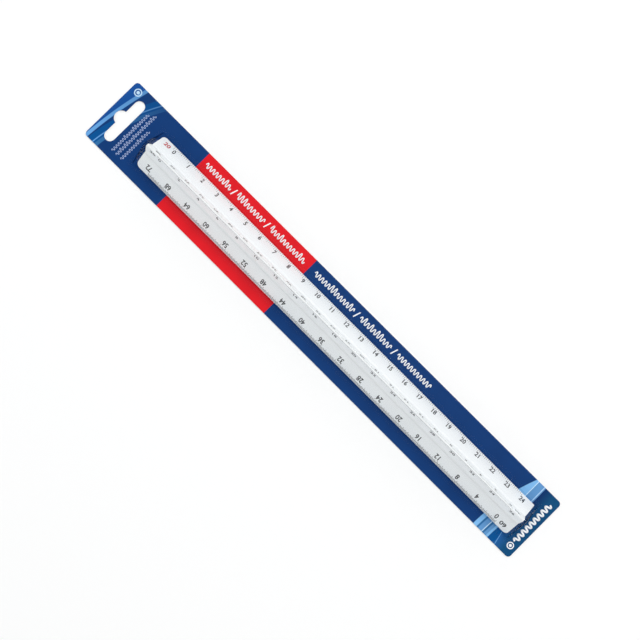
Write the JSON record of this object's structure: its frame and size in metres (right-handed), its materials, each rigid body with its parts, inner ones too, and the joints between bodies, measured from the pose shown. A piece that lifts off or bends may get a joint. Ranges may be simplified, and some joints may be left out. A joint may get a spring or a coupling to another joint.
{
  "type": "triangular scale ruler",
  "caption": "Triangular engineer's scale with three measuring edges, packed on a slim slotted hang card under a clear ridge blister that swings open.",
  "frame": {"origin": "centre of the card, on its underside", "axes": "+Z out of the card's printed face, +X from the hang slot to the foot of the card, +Y towards the wide printed margin"},
  "size_m": [0.3736, 0.047, 0.0241],
  "materials": {
    "coated_card": "printed blister board, blue with a red field, thin gloss coat",
    "white_plastic": "solid white plastic, satin, with printed graduations",
    "clear_film": "clear thermoformed film"
  },
  "bodies": {
    "card": {"hang_card": "coated_card"},
    "scale": {"triangular_scale": "white_plastic"},
    "blister": {"clear_blister": "clear_film"}
  },
  "joints": [
    {"name": "blister_hinge", "type": "hinge", "parent": "card", "child": "blister", "pos_m": [-0.1548, -0.0016, 0.0008], "axis": [0, -1, 0], "range_deg": [0, 95]},
    {"name": "scale_end_play", "type": "slide", "parent": "card", "child": "scale", "axis": [1, 0, 0], "range_m": [-0.0008, 0.0008]}
  ]
}
